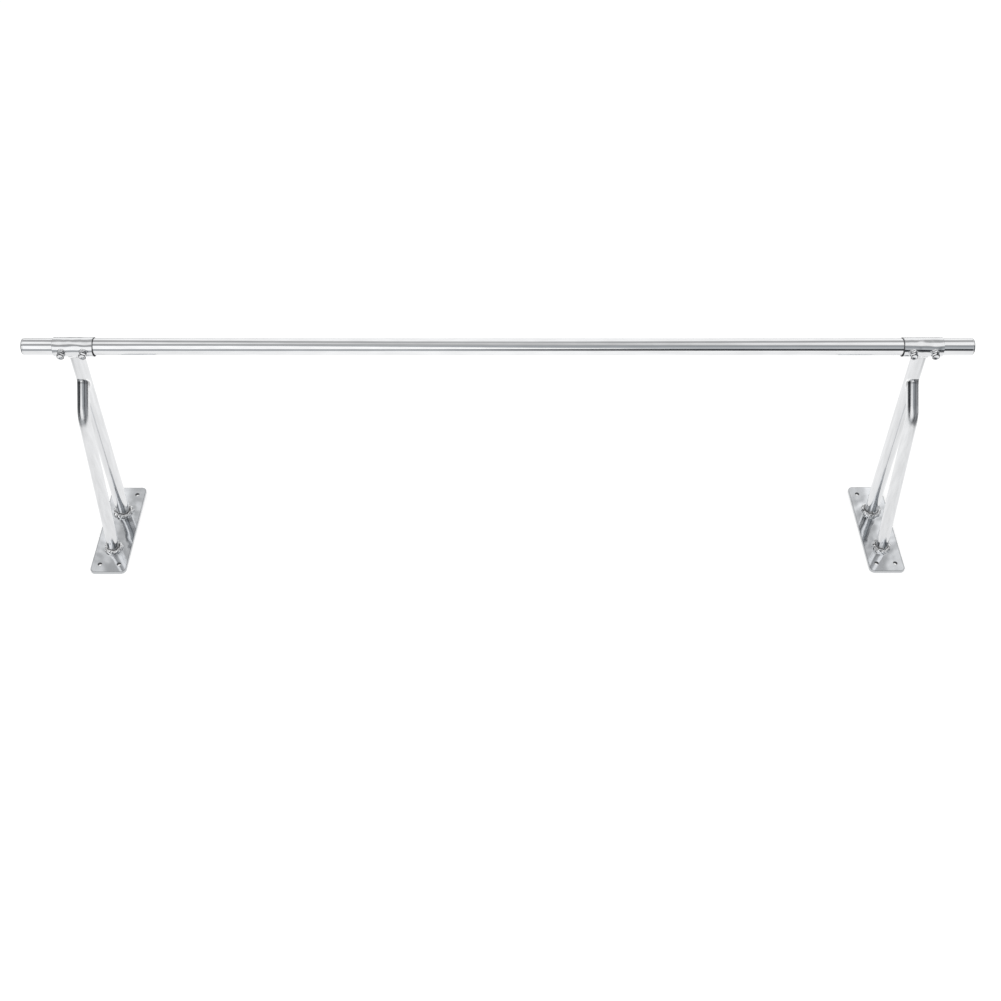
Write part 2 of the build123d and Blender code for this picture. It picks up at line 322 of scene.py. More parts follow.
class Bench:
    """Adds nodes to the tree of one material or world."""

    def __init__(self, owner):
        owner.use_nodes = True
        self.tree = owner.node_tree
        self.tree.nodes.clear()

    def node(self, kind, settings=None, sockets=None, output=0):
        """Add a node: its settings first, then the numbers, colours or wires of its input sockets."""
        made = self.tree.nodes.new(kind)
        for setting, value in (settings or {}).items():
            setattr(made, setting, value)
        for socket, value in (sockets or {}).items():
            if isinstance(value, Wire):
                self.tree.links.new(value.socket, made.inputs[socket])
            else:
                made.inputs[socket].default_value = value
        return Wire(self, made.outputs[output]) if made.outputs else None

    def object_place(self):
        """Place on the piece, in the frame's own coordinates."""
        return self.node("ShaderNodeTexCoord", output="Object")

    def parts(self, vector):
        """A vector taken apart. The wire itself is its X, and the others are among its outputs."""
        return self.node("ShaderNodeSeparateXYZ", {}, {0: vector})

    def mix_colour(self, factor, first, second):
        """First colour at factor 0, second at 1."""
        return self.node("ShaderNodeMix", {"data_type": "RGBA"}, {0: factor, 6: first, 7: second}, output=2)

    def shades(self, factor, rgb, first, second):
        """One colour at two shares of its brightness: the first at factor 0, the second at 1."""
        return self.mix_colour(factor, opaque(rgb, first), opaque(rgb, second))

    def soft_step(self, value, low, high):
        """0 at low, 1 at high and a smooth rise between them."""
        return self.node("ShaderNodeMapRange", {"interpolation_type": "SMOOTHSTEP"},
                         {"Value": value, "From Min": low, "From Max": high})

    def line(self, value, ends, results):
        """Straight line between two results as the value goes from end to end, level beyond the ends."""
        return self.node("ShaderNodeMapRange", {}, {
            "Value": value, "From Min": ends[0], "From Max": ends[1],
            "To Min": results[0], "To Max": results[1]})

    def band(self, value, centre, half_width, soft):
        """1 within half_width of centre, 0 outside, with edges that fade over soft either way."""
        return self.soft_step(abs(value - centre), half_width + soft, half_width - soft)

    def most(self, first, second):
        """The larger of two values."""
        return self.node("ShaderNodeMath", {"operation": "MAXIMUM"}, {0: first, 1: second})

    def distance(self, first, second):
        """Length of the diagonal over two sides at right angles."""
        return (first * first + second * second) ** 0.5

    def noise(self, place, scale, detail, stretch=(1.0, 1.0, 1.0)):
        """Cloudy noise from 0 to 1, finer along the axes with the larger stretch."""
        stretched = self.node("ShaderNodeMapping", {}, {"Vector": place, "Scale": stretch})
        return self.node("ShaderNodeTexNoise", {}, {"Vector": stretched, "Scale": scale, "Detail": detail})

    def bump(self, height, distance, strength=1.0, normal=None):
        """Normal of a surface raised by height times distance, over another normal if one is given."""
        sockets = {"Strength": strength, "Distance": distance, "Height": height}
        if normal is not None:
            sockets["Normal"] = normal
        return self.node("ShaderNodeBump", {}, sockets)

    def metal(self, base_colour, roughness, normal):
        """Bare metal on the whole surface."""
        surface = self.node("ShaderNodeBsdfPrincipled", {}, {
            "Base Color": base_colour, "Roughness": roughness, "Metallic": 1.0, "Normal": normal})
        self.node("ShaderNodeOutputMaterial", {}, {"Surface": surface})


def opaque(rgb, level):
    """A colour socket's four numbers, at a share of the colour's brightness."""
    return (rgb[0] * level, rgb[1] * level, rgb[2] * level, 1.0)


def new_bench(name):
    """An empty material of that name, and a bench on its tree."""
    material = bpy.data.materials.get(name) or bpy.data.materials.new(name)
    return material, Bench(material)


# Finishes. A fade holds the values at which a soft step is 0 and at which it is 1.

def uneven(roughness, *noises):
    """Roughness that each noise moves up and down by half of its reach."""
    for noise, reach in noises:
        roughness = roughness + (noise - 0.5) * reach
    return roughness


def shifted(fade, start):
    """Both ends of a fade, measured from start."""
    return [start + end for end in fade]


def painted_weld_shade(bench, place, bracket):
    """How far painted shade darkens a tube next to its welds: at its foot, on the side towards the other
    bracket, and in a narrow ring where a brace meets its arm."""
    foot_fade = (0.026, 0.008)  # above the plate
    foot_depth = 0.45
    inward_fade = (-0.15, 0.15)  # in radii of the arm
    ring_outside = (0.0060, 0.0038)  # from the arm's side
    ring_inside = (0.0004, 0.0010)
    ring_above = (0.25, 0.30)  # above the plate
    ring_depth = 0.35
    parts = bench.parts(place)
    above_plate = parts.output("Z") - bracket.plate_top
    inward = bench.soft_step((abs(bracket.x) - abs(parts)) / bracket.arm_radius, *inward_fade)
    foot = bench.soft_step(above_plate, *foot_fade) * inward
    from_axis = bench.distance(abs(parts) - abs(bracket.x), parts.output("Y") - bracket.arm_y)
    from_arm = from_axis - bracket.arm_radius
    ring = bench.soft_step(from_arm, *ring_outside) * bench.soft_step(from_arm, *ring_inside)
    high_up = bench.soft_step(above_plate, *ring_above)
    return foot * foot_depth + ring * high_up * ring_depth


def bend_dulling(bench, place, bracket):
    """1 on the bend of a brace, where bending has stretched the polish. It fades out past both ends of the
    bend and next to the arm."""
    start_fade = shifted((-0.012, 0.008), bracket.bend_start.y)
    end_fade = shifted((0.012, -0.004), bracket.bend_end.y)
    arm_fade = shifted((0.002, 0.008), bracket.arm_radius)
    parts = bench.parts(place)
    above_start = bench.soft_step(parts.output("Z"), *start_fade)
    below_end = bench.soft_step(parts.output("Z"), *end_fade)
    before_arm = bench.soft_step(bracket.arm_y - parts.output("Y"), *arm_fade)
    return above_start * below_end * before_arm


def polished_steel(name, rgb, roughness, grain, waviness, bracket=None, rim=None):
    """Polished steel: fine polishing lines along the grain, soft smears of uneven gloss and a slow waviness
    of the surface that bends its reflections. The tubes of a bracket have painted shade next to their welds
    and are duller on their bends. Beyond rim, measured along X from the middle, the steel is darker:
    painted shade for the dark reflection round the end caps' rims."""
    coarse_grain = 100.0
    smear_along = 20.0
    smear_across = 160.0
    wave_scale = 26.0
    rim_fade = 0.0012
    rim_shade = 0.5
    weld_shade_level = 0.05
    bend_gloss = 0.16
    smear_shades = (0.84, 1.1)
    line_bump = (0.00001, 0.25)  # height and strength
    material, bench = new_bench(name)
    place = bench.object_place()
    lines = bench.noise(place, 1.0, LINE_DETAIL, grain)
    smear_stretch = [smear_along if fine < coarse_grain else smear_across for fine in grain]
    smears = bench.noise(place, 1.0, LINE_DETAIL, smear_stretch)
    waves = bench.noise(place, wave_scale, WAVE_DETAIL)
    base_colour = bench.shades(smears, rgb, *smear_shades)
    gloss = uneven(roughness, (lines, GRAIN_GLOSS), (smears, SMEAR_GLOSS))
    # Painted shade: past rim the end caps darken, for the dark reflection round their rims.
    if rim:
        beyond = bench.soft_step(abs(bench.parts(place)), rim, rim + rim_fade)
        base_colour = bench.mix_colour(beyond, base_colour, opaque(rgb, rim_shade))
    # Painted shade next to the welds; the bends only get rougher.
    if bracket:
        base_colour = bench.mix_colour(painted_weld_shade(bench, place, bracket), base_colour, opaque(rgb, weld_shade_level))
        gloss = gloss + bend_dulling(bench, place, bracket) * bend_gloss
    slow = bench.bump(waves, waviness)
    bench.metal(base_colour, gloss, bench.bump(lines, *line_bump, slow))
    return material


def sleeve_steel(finish, bracket, bolt_places):
    """Polished steel, drawn out of true round the welded nuts, with painted shade in the bore and on the cut
    inner ends, more on their lower part, for the shadow in the gap round the bar. A lean of the whole
    surface shifts its reflections a little."""
    bore_fade = shifted((-0.0004, -0.0007), bracket.sleeve_radius)
    end_fade = shifted((0.0018, 0.0010), abs(bracket.x) - bracket.sleeve_half)
    nut_fade = (0.022, 0.006)  # from a bolt's axis
    lower_fade = (0.010, 0.002)  # above the bar's axis
    upper_cut = 0.4
    gap_shade_colour = (0.03, 0.031, 0.034, 1.0)
    gap_shade_gloss = 0.3
    wave_stretch = (30.0, 48.0, 48.0)
    wave_height = 0.0014
    nut_waves = 0.0008
    lean_slope = -0.05
    smear_scale = 60.0
    smear_shades = (0.9, 1.12)
    material, bench = new_bench("polished_sleeve_steel")
    place = bench.object_place()
    parts = bench.parts(place)
    forward = parts.output("Y") - bracket.arm_y
    height = parts.output("Z") - bracket.bar_z
    inside = bench.soft_step(bench.distance(forward, height), *bore_fade)
    near = 0.0
    for bolt_x in bolt_places:
        near = near + bench.soft_step(bench.distance(abs(parts) - abs(bolt_x), height), *nut_fade)
    smears = bench.noise(place, smear_scale, LINE_DETAIL)
    waves = bench.noise(place, 1.0, WAVE_DETAIL, wave_stretch)
    lower = bench.soft_step(height, *lower_fade) * (1 - upper_cut) + upper_cut
    cut = bench.soft_step(abs(parts), *end_fade) * lower
    # Painted shade: near black in the bore and on the inner ends, for the shadow in the gap round the bar.
    scale = bench.most(inside, cut)
    tone = bench.shades(smears, finish.tube_colour, *smear_shades)
    base_colour = bench.mix_colour(scale, tone, gap_shade_colour)
    gloss = uneven(finish.tube_roughness, (smears, SMEAR_GLOSS)) + scale * gap_shade_gloss
    lean = (forward + height) * lean_slope
    drawn = bench.bump(lean + waves * (near * nut_waves + wave_height), 1.0)
    bench.metal(base_colour, gloss, drawn)
    return material


def plate_steel(finish, bracket):
    """Polished sheet: lines along the plate, a surface drawn out of true by its welds, so that the plate
    lifts either side of the two feet and waves near them, darker cut edges, and painted shade on the
    walls of the screw holes, which are also rougher."""
    foot_fade = (0.060, 0.012)  # from a foot's axis
    hole_fade = (1.12, 1.02)  # in radii of a hole
    hole_shade_colour = (0.10, 0.102, 0.106, 1.0)
    hole_gloss = 0.3
    edge_fade = (-0.0028, -0.0010)  # from the plate's outline
    edge_shade = 0.62
    wave_height = 0.0004
    foot_waves = 0.0006
    lift_slope = 0.03
    lift_middle = 0.006
    smear_scale = 30.0
    smear_shades = (0.88, 1.02)
    wave_scale = 34.0
    line_bump = (0.00002, 0.3)  # height and strength
    settings = bracket.settings
    corner = settings.plate_corner
    half = extent("left_base_plate") / 2
    material, bench = new_bench("polished_plate_steel")
    place = bench.object_place()
    parts = bench.parts(place)
    across = abs(abs(parts) - abs(bracket.x))
    along = parts.output("Y")
    near = 0.0
    for foot_y in (bracket.arm_y, bracket.brace_foot_y):
        near = near + bench.soft_step(bench.distance(across, along - foot_y), *foot_fade)
    from_hole = bench.distance(across - settings.plate_hole_across / 2,
                               abs(along) - settings.plate_hole_along / 2)
    # Painted shade on the walls of the screw holes.
    hole_shade = bench.soft_step(from_hole, *(settings.plate_hole * radii for radii in hole_fade))
    lines = bench.noise(place, 1.0, LINE_DETAIL, PLATE_GRAIN)
    smears = bench.noise(place, smear_scale, LINE_DETAIL)
    waves = bench.noise(place, wave_scale, WAVE_DETAIL)
    past_side = bench.most(across - (half.x - corner), 0.0)
    past_end = bench.most(abs(along) - (half.y - corner), 0.0)
    at_edge = bench.soft_step(bench.distance(past_side, past_end) - corner, *edge_fade)
    tone = bench.shades(smears, finish.plate_colour, *smear_shades)
    edged = bench.mix_colour(at_edge, tone, opaque(finish.plate_colour, edge_shade))
    base_colour = bench.mix_colour(hole_shade, edged, hole_shade_colour)
    gloss = uneven(finish.plate_roughness, (lines, GRAIN_GLOSS), (smears, SMEAR_GLOSS)) + hole_shade * hole_gloss
    lift = bench.distance(across, lift_middle) * lift_slope
    drawn = bench.bump(lift + waves * (near * foot_waves + wave_height), 1.0)
    bench.metal(base_colour, gloss, bench.bump(lines, *line_bump, drawn))
    return material


def weld_metal(finish):
    """Bright weld metal: fine frozen texture, patches of duller skin, soot on the beads at the plate and dark
    scale along both toes, which is fainter at the plate."""
    dull_fade = (0.45, 0.75)
    dull_gloss = 0.14
    plate_fade = (0.10, 0.05)  # height of the beads at the feet
    low_toe_fade = (0.14, 0.01)
    low_toe_cleaned = 0.85
    high_toe_fade = (0.74, 0.96)
    high_toe_cleaned = 0.25
    soot_fade = (0.55, 0.64)
    soot_depth = 0.55
    dark_shade = 0.12
    grit_gloss = 0.08
    grit_height = 0.3
    skin_noise = (240.0, 4.0)  # scale and detail
    grit_noise = (1500.0, 2.0)
    soot_noise = (110.0, 1.0)
    skin_shades = (1.10, 0.80)
    skin_bump = (0.00015, 0.4)  # height and strength
    material, bench = new_bench("bright_weld_metal")
    place = bench.object_place()
    skin = bench.noise(place, *skin_noise)
    grit = bench.noise(place, *grit_noise)
    dull = bench.soft_step(skin, *dull_fade)
    across = bench.node("ShaderNodeAttribute", {"attribute_name": "across"}, output="Fac")
    near_plate = bench.soft_step(bench.parts(place).output("Z"), *plate_fade)
    low_toe = bench.soft_step(across, *low_toe_fade) * (1 - near_plate * low_toe_cleaned)
    high_toe = bench.soft_step(across, *high_toe_fade) * (1 - near_plate * high_toe_cleaned)
    soot = bench.soft_step(bench.noise(place, *soot_noise), *soot_fade) * near_plate * soot_depth
    dark = bench.most(low_toe + high_toe, soot)
    bright = bench.shades(dull, finish.weld_colour, *skin_shades)
    base_colour = bench.mix_colour(dark, bright, opaque(finish.weld_colour, dark_shade))
    gloss = uneven(finish.weld_roughness + dull * dull_gloss, (grit, grit_gloss))
    bench.metal(base_colour, gloss, bench.bump(skin + grit * grit_height, *skin_bump))
    return material


def plated_steel(finish):
    """Plated steel of bolts and nuts: slightly cloudy, with fine turning marks round the axis, and painted
    shade on chamfers, seats and nut bores, for the dark lines and shadows round the hexagons."""
    painted_edge_fade = (0.45, 0.95)
    painted_edge_level = 0.10
    shaded_edge_gloss = 0.15
    cloud_gloss = 0.12
    mark_gloss = 0.06
    cloud_scale = 300.0
    cloud_shades = (0.9, 1.08)
    mark_detail = 2.0
    mark_bump = (0.00002, 0.25)  # height and strength
    material, bench = new_bench("plated_fastener_steel")
    place = bench.object_place()
    cloud = bench.noise(place, cloud_scale, LINE_DETAIL)
    marks = bench.noise(place, 1.0, mark_detail, TURNING_GRAIN)
    edge = bench.node("ShaderNodeAttribute", {"attribute_name": "edge"}, output="Fac")
    # Painted shade on chamfers, seats and bores, which are also rougher.
    painted_edge_shade = bench.soft_step(edge, *painted_edge_fade)
    tone = bench.shades(cloud, finish.fastener_colour, *cloud_shades)
    base_colour = bench.mix_colour(painted_edge_shade, tone, opaque(finish.fastener_colour, painted_edge_level))
    gloss = uneven(finish.fastener_roughness, (cloud, cloud_gloss), (marks, mark_gloss)) + painted_edge_shade * shaded_edge_gloss
    bench.metal(base_colour, gloss, bench.bump(marks, *mark_bump))
    return material


# Surfaces

def signed_volume(places, quads):
    """Volume inside a closed mesh, from the tetrahedra between its faces and the origin. It is negative when
    the faces point inwards."""
    corner = places[quads]
    halves = np.concatenate((corner[:, (0, 1, 2)], corner[:, (0, 2, 3)]))
    return np.einsum("ij,ij->", halves[:, 0], np.cross(halves[:, 1], halves[:, 2])) / 6


def add_surface(name, points, poles=False, marks=None):
    """Put a grid of points into a closed mesh. Columns go once round. The last row joins the first, or with
    poles the first and last rows each lie on one point. Marks are numbers stored with each row's points, one
    list of rows for each attribute."""
    rows, columns = points.shape[:2]
    index = np.arange(rows * columns).reshape(rows, columns)
    after = np.roll(index, -1, axis=0)
    if poles:
        index = index[:-1]
        after = after[:-1]
    corners = (index, np.roll(index, -1, axis=1), np.roll(after, -1, axis=1), after)
    quads = np.stack(corners, axis=-1).reshape(-1, 4)
    places = points.reshape(-1, 3)
    if signed_volume(places - places.mean(axis=0), quads) < 0:
        quads = quads[:, ::-1]
    mesh = bpy.data.meshes.new(name)
    mesh.vertices.add(len(places))
    mesh.vertices.foreach_set("co", places.astype(np.float32).ravel())
    mesh.loops.add(quads.size)
    mesh.loops.foreach_set("vertex_index", quads.astype(np.int32).ravel())
    mesh.polygons.add(len(quads))
    mesh.polygons.foreach_set("loop_start", np.arange(0, quads.size, 4, dtype=np.int32))
    mesh.update(calc_edges=True)
    for attribute, values in (marks or {}).items():
        mark = mesh.attributes.new(attribute, "FLOAT", "POINT")
        mark.data.foreach_set("value", np.repeat(values, columns).astype(np.float32))
    if poles:
        close_poles(mesh)
    mesh.validate()
    smooth(mesh)
    piece = bpy.data.objects.new(name, mesh)
    bpy.context.scene.collection.objects.link(piece)
    return piece


def close_poles(mesh):
    """Merge the points that lie on one place, which turns the quads at a pole into triangles."""
    shape = bmesh.new()
    shape.from_mesh(mesh)
    bmesh.ops.remove_doubles(shape, verts=shape.verts, dist=MERGE_DISTANCE)
    shape.to_mesh(mesh)
    shape.free()


def smooth(mesh):
    """Shade smooth across the round faces and crisp at the edges."""
    mesh.shade_smooth()
    mesh.set_sharp_from_angle(angle=SHARP_ANGLE)


def dress(piece, body, slot, material, *nodes):
    """Give a piece its finish, hide the nodes that it stands for and let it ride on its body."""
    piece.data.materials.clear()
    piece.data.materials.append(material)
    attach(piece, body)
    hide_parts(*nodes)


def once_round(columns, turn=0.0):
    """Angles of the columns round an axis."""
    return turn + np.linspace(0.0, 2 * pi, columns, endpoint=False)


def turned(axial, radius, centre, axis, columns, turn=0.0):
    """Surface of revolution: centre + axial * axis + radius * (cos t * side + sin t * up), with t once round.
    Axial and radius are one number a row, or one a row and column for hexagons and threads."""
    around = once_round(columns, turn)
    side = np.cross(Z_AXIS, axis)
    spokes = np.cos(around)[:, None] * side + np.sin(around)[:, None] * Z_AXIS
    rows = len(axial)
    axial = np.broadcast_to(np.reshape(axial, (rows, -1)), (rows, columns))
    radius = np.broadcast_to(np.reshape(radius, (rows, -1)), (rows, columns))
    return np.asarray(centre) + axial[..., None] * axis + radius[..., None] * spokes


def tube_section(half_length, outer, inner, edge, rows):
    """Closed section of a tube's wall: out along the outside and back along the bore, with each corner broken
    by edge."""
    along = np.linspace(edge - half_length, half_length - edge, rows)
    ends = np.full(2, half_length)
    lips = np.array((outer - edge, inner + edge))
    axial = np.concatenate((along, ends, along[::-1], -ends))
    radius = np.concatenate((np.full(rows, outer), lips, np.full(rows, inner), lips[::-1]))
    return axial, radius


def blend_rows(first, last, rows):
    """Rows that run in straight lines from the first row of points to the last."""
    share_along = np.linspace(0.0, 1.0, rows)[:, None, None]
    return first + share_along * (last - first)


def unit(vectors):
    """Vectors brought to length one."""
    return vectors / np.linalg.norm(vectors, axis=-1, keepdims=True)


# Bracket geometry

class Bracket:
    """Where one bracket's pieces meet, from the frame and the settings."""

    def __init__(self, side, settings):
        self.settings = settings
        sleeve = middle(f"{side}_sleeve")
        self.x = sleeve.x
        self.bar_z = sleeve.z
        self.arm_y = middle(f"{side}_arm_tube").y
        self.sleeve_axis = np.array((self.x, self.arm_y, self.bar_z))
        self.sleeve_half = extent(f"{side}_sleeve").x / 2
        self.sleeve_radius = extent(f"{side}_sleeve").z / 2
        self.arm_radius = extent(f"{side}_arm_tube").x / 2
        self.brace_radius = extent(f"{side}_brace_tube").x / 2
        self.plate_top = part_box(f"{side}_base_plate")[1].z
        self.brace_foot_y = middle(f"{side}_brace_foot_weld").y
        foot = Vector((self.brace_foot_y, self.plate_top))
        corner = Vector((self.arm_y - settings.bend_forward, self.bar_z - settings.bend_below))
        top = Vector((self.arm_y, self.bar_z - settings.top_below))
        low_run = (corner - foot).normalized()
        high_run = (top - corner).normalized()
        self.low_heading = atan2(low_run.y, low_run.x)
        self.high_heading = atan2(high_run.y, high_run.x)
        reach = settings.bend_radius * tan((self.low_heading - self.high_heading) / 2)
        self.bend_start = corner - low_run * reach
        self.bend_end = corner + high_run * reach

    def heading(self, angle_up):
        """Direction in the bracket's own plane, at an angle up from +Y."""
        return np.array((0.0, cos(angle_up), sin(angle_up)))

    def ring(self, point, angle_up, radius, around):
        """Circle of the brace's section at a point of its axis, which runs at an angle up from +Y."""
        inward = np.array((0.0, sin(angle_up), -cos(angle_up)))
        centre = np.array((self.x, point[0], point[1]))
        return centre + radius * (np.cos(around)[:, None] * X_AXIS + np.sin(around)[:, None] * inward)

    def brace_foot(self, radius, around):
        """The brace's lines carried down to the plate's face."""
        start = self.ring(self.bend_start, self.low_heading, radius, around)
        run = self.heading(self.low_heading)
        return start - run * ((start[:, 2] - self.plate_top) / run[2])[:, None]

    def brace_top(self, radius, around):
        """The brace's lines carried on to the side of the arm."""
        start = self.ring(self.bend_end, self.high_heading, radius, around)
        run = self.heading(self.high_heading)
        arm_side = self.arm_y - np.sqrt(self.arm_radius**2 - (radius * np.cos(around)) ** 2)
        return start + run * ((arm_side - start[:, 1]) / run[1])[:, None]

    def brace_rows(self, radius, around):
        """Rows of the brace's surface from the plate to the arm: a straight run, an arc of a circle and
        another straight run."""
        low = self.ring(self.bend_start, self.low_heading, radius, around)
        high = self.ring(self.bend_end, self.high_heading, radius, around)
        bend = self.settings.bend_radius
        headings = np.linspace(self.low_heading, self.high_heading, BEND_ROWS)[1:-1]
        turn_in = np.array((sin(self.low_heading), -cos(self.low_heading)))
        centre = np.array(self.bend_start) + bend * turn_in
        arc = [self.ring(centre + bend * np.array((-sin(heading), cos(heading))), heading, radius, around)
               for heading in headings]
        return np.concatenate((
            blend_rows(self.brace_foot(radius, around), low, LOW_RUN_ROWS), arc,
            blend_rows(high, self.brace_top(radius, around), HIGH_RUN_ROWS)))

    def arm_foot(self, radius, around):
        """Circle of the arm's section on the plate."""
        spokes = np.cos(around)[:, None] * X_AXIS + np.sin(around)[:, None] * Y_AXIS
        return np.array((self.x, self.arm_y, self.plate_top)) + radius * spokes

    def arm_top(self, radius, around):
        """The arm's lines carried up to the underside of the sleeve."""
        top = self.arm_foot(radius, around)
        top[:, 2] = self.bar_z - np.sqrt(self.sleeve_radius**2 - (radius * np.sin(around)) ** 2)
        return top

    def arm_rows(self, radius, around):
        """Rows of the arm's surface from the plate to the sleeve."""
        return blend_rows(self.arm_foot(radius, around), self.arm_top(radius, around), ARM_ROWS)


def wall_of(rows_at, outer, wall, columns):
    """Closed surface of a tube's wall: up along the outside and back down the bore."""
    around = once_round(columns)
    return np.concatenate((rows_at(outer, around), rows_at(outer - wall, around)[::-1]))


# Weld beads

def bead(root, toe_a, toe_b, into_a, into_b, ripples, depth, power, weld):
    """Bead round a closed seam. Its face runs from toe to toe on
    root + (toe_a - root) * cos(s) ** power + (toe_b - root) * sin(s) ** power, raised by bowed ripples
    that are parabolas along the seam. Two sine waves vary its legs. A few more rows close it under the two
    surfaces that it joins."""
    along = once_round(len(root))
    waves = sum(height * np.sin(times * along + phase) for height, times, phase in WANDER_WAVES)
    leg = (1.0 + weld.wander * waves)[:, None]
    reach_a = (toe_a - root) * leg
    reach_b = (toe_b - root) * leg
    across = np.linspace(0.0, pi / 2, BEAD_ROWS)[:, None]
    phase = ripples * along / (2 * pi) + weld.ripple_bow * np.sin(2 * across)
    within = phase - np.floor(phase)
    ripple = 4.0 * within * (1.0 - within)
    raised = 1.0 + depth * ripple * np.sin(2 * across)
    part_a = (raised * np.cos(across).clip(0.0) ** power)[..., None]
    part_b = (raised * np.sin(across) ** power)[..., None]
    face = root + part_a * reach_a + part_b * reach_b
    under = np.stack((
        root + reach_b + into_b * weld.sink,
        root + (into_a + into_b) * weld.sink,
        root + reach_a + into_a * weld.sink))
    return np.concatenate((face, under))


def add_bead(name, points, first=0.0):
    """Put a bead into a mesh, marked with how far across its face each row lies: 0 and 1 at its dark toes,
    and more than 0 at a first toe that is clean."""
    across = np.concatenate((np.linspace(first, 1.0, BEAD_ROWS), np.zeros(UNDER_ROWS)))
    return add_surface(name, points, marks={"across": across})


def bead_columns(perimeter, pitch):
    """How many ripples go round a seam, and the angles of the columns."""
    ripples = max(int(round(perimeter / pitch)), FEWEST_RIPPLES)
    return ripples, once_round(max(ripples * RIPPLE_COLUMNS, ROUND_COLUMNS))


def onto_tube(points, axis_point, crosswise, radius):
    """Points brought onto a tube's surface, and the directions from there towards its axis. Crosswise is 1 in
    the two directions across the tube and 0 along it."""
    outward = unit((points - axis_point) * crosswise)
    return axis_point * crosswise + outward * radius + points * (1 - crosswise), -outward


def saddle_toe(root, axis_point, crosswise, radius, leg):
    """Toe of a bead on the side of a main tube: the seam moved by leg square to itself along the tube."""
    inward = onto_tube(root, axis_point, crosswise, radius)[1]
    seam = unit(np.roll(root, -1, axis=0) - np.roll(root, 1, axis=0))
    sideways = np.cross(seam, inward)
    if np.einsum("ij,ij->", sideways, root - root.mean(axis=0)) < 0:
        sideways = -sideways
    return onto_tube(root + leg * sideways, axis_point, crosswise, radius)[0], inward


def foot_bead(bracket, weld, radius, foot_at, foot_y, rise):
    """Bead between the plate and a tube that leaves it in the direction of rise."""
    ripples, around = bead_columns(2 * pi * radius, weld.foot_pitch)
    root = foot_at(radius, around)
    outward = unit(root - np.array((bracket.x, foot_y, bracket.plate_top)))
    toe = root + outward * weld.foot_leg
    climb = root + rise * weld.foot_leg
    return bead(root, toe, climb, -Z_AXIS + 0 * root, -outward, ripples, weld.foot_depth, weld.full, weld)


def arm_foot_bead(bracket, weld):
    """Bead between the plate and the upright arm."""
    return foot_bead(bracket, weld, bracket.arm_radius, bracket.arm_foot, bracket.arm_y, Z_AXIS)


def brace_foot_bead(bracket, weld):
    """Bead between the plate and the slanting brace."""
    rise = bracket.heading(bracket.low_heading)
    return foot_bead(bracket, weld, bracket.brace_radius, bracket.brace_foot, bracket.brace_foot_y, rise)


def sleeve_bead(bracket, weld):
    """Bead between the underside of the sleeve and the arm."""
    ripples, around = bead_columns(2 * pi * bracket.arm_radius, weld.ripple_pitch)
    root = bracket.arm_top(bracket.arm_radius, around)
    toe, inward = saddle_toe(root, bracket.sleeve_axis, Y_AXIS + Z_AXIS, bracket.sleeve_radius,
                             weld.saddle_leg)
    to_arm_axis = onto_tube(root, bracket.sleeve_axis, X_AXIS + Y_AXIS, bracket.arm_radius)[1]
    climb = root - Z_AXIS * weld.saddle_leg
    return bead(root, toe, climb, inward, to_arm_axis, ripples, weld.ripple_depth, weld.full, weld)


def brace_arm_bead(bracket, weld):
    """Bead between the front of the arm and the brace's top."""
    ripples, around = bead_columns(2 * pi * bracket.brace_radius, weld.ripple_pitch)
    root = bracket.brace_top(bracket.brace_radius, around)
    toe, inward = saddle_toe(root, bracket.sleeve_axis, X_AXIS + Y_AXIS, bracket.arm_radius,
                             weld.saddle_leg)
    run = bracket.heading(bracket.high_heading)
    ring = bracket.ring(bracket.bend_end, bracket.high_heading, bracket.brace_radius, around)
    to_brace_axis = -unit(ring - np.array((bracket.x, *bracket.bend_end)))
    climb = root - run * weld.saddle_leg
    return bead(root, toe, climb, inward, to_brace_axis, ripples, weld.saddle_depth, weld.hollow, weld)


def nut_bead(bracket, bolt_x, hex_width, weld):
    """Bead that climbs from the round of the sleeve onto the sides of a nut."""
    seam_radius = hex_width * NUT_SEAM
    ripples, around = bead_columns(2 * pi * seam_radius, weld.ripple_pitch)
    spokes = np.cos(around)[:, None] * X_AXIS + np.sin(around)[:, None] * Z_AXIS

    def on_sleeve(radius):
        """Circle round the bolt's axis, brought onto the front of the sleeve."""
        place = np.array((bolt_x, 0.0, bracket.bar_z)) + radius * spokes
        place[:, 1] = bracket.arm_y - np.sqrt(bracket.sleeve_radius**2 - (radius * np.sin(around)) ** 2)
        return place

    root = on_sleeve(seam_radius)
    climb = root.copy()
    climb[:, 1] = bracket.arm_y - bracket.sleeve_radius - weld.nut_leg
    inward = onto_tube(root, bracket.sleeve_axis, Y_AXIS + Z_AXIS, bracket.sleeve_radius)[1]
    toe = on_sleeve(seam_radius + weld.nut_leg)
    return bead(root, toe, climb, inward, -spokes, ripples, weld.ripple_depth, weld.full, weld)


# Set bolts and nuts

def hex_radius(width, columns):
    """Distance from a hexagon's axis to its side at each column, the first column on a corner."""
    from_flat = np.mod(once_round(columns), pi / 3) - pi / 6
    return width / 2 / np.cos(from_flat)


def hex_rows(fastener, height):
    """Side and chamfer of a hexagon from its seat to its face, as rows of axial places and radii, and the
    rows' edge marks: 1 at the seat and on the chamfer, 0 on the flats between them."""
    low_on_flat = 0.25
    high_on_flat = 0.75
    sides = hex_radius(fastener.hex_width, HEX_COLUMNS)
    face = np.full(HEX_COLUMNS, fastener.face_share * fastener.hex_width / 2)
    shoulder = height - (sides - face) * tan(fastener.chamfer)
    axial = [0 * sides, low_on_flat * shoulder, high_on_flat * shoulder, shoulder, height + 0 * sides]
    return axial, [sides, sides, sides, sides, face], [1.0, 0.0, 0.0, 1.0, 1.0]


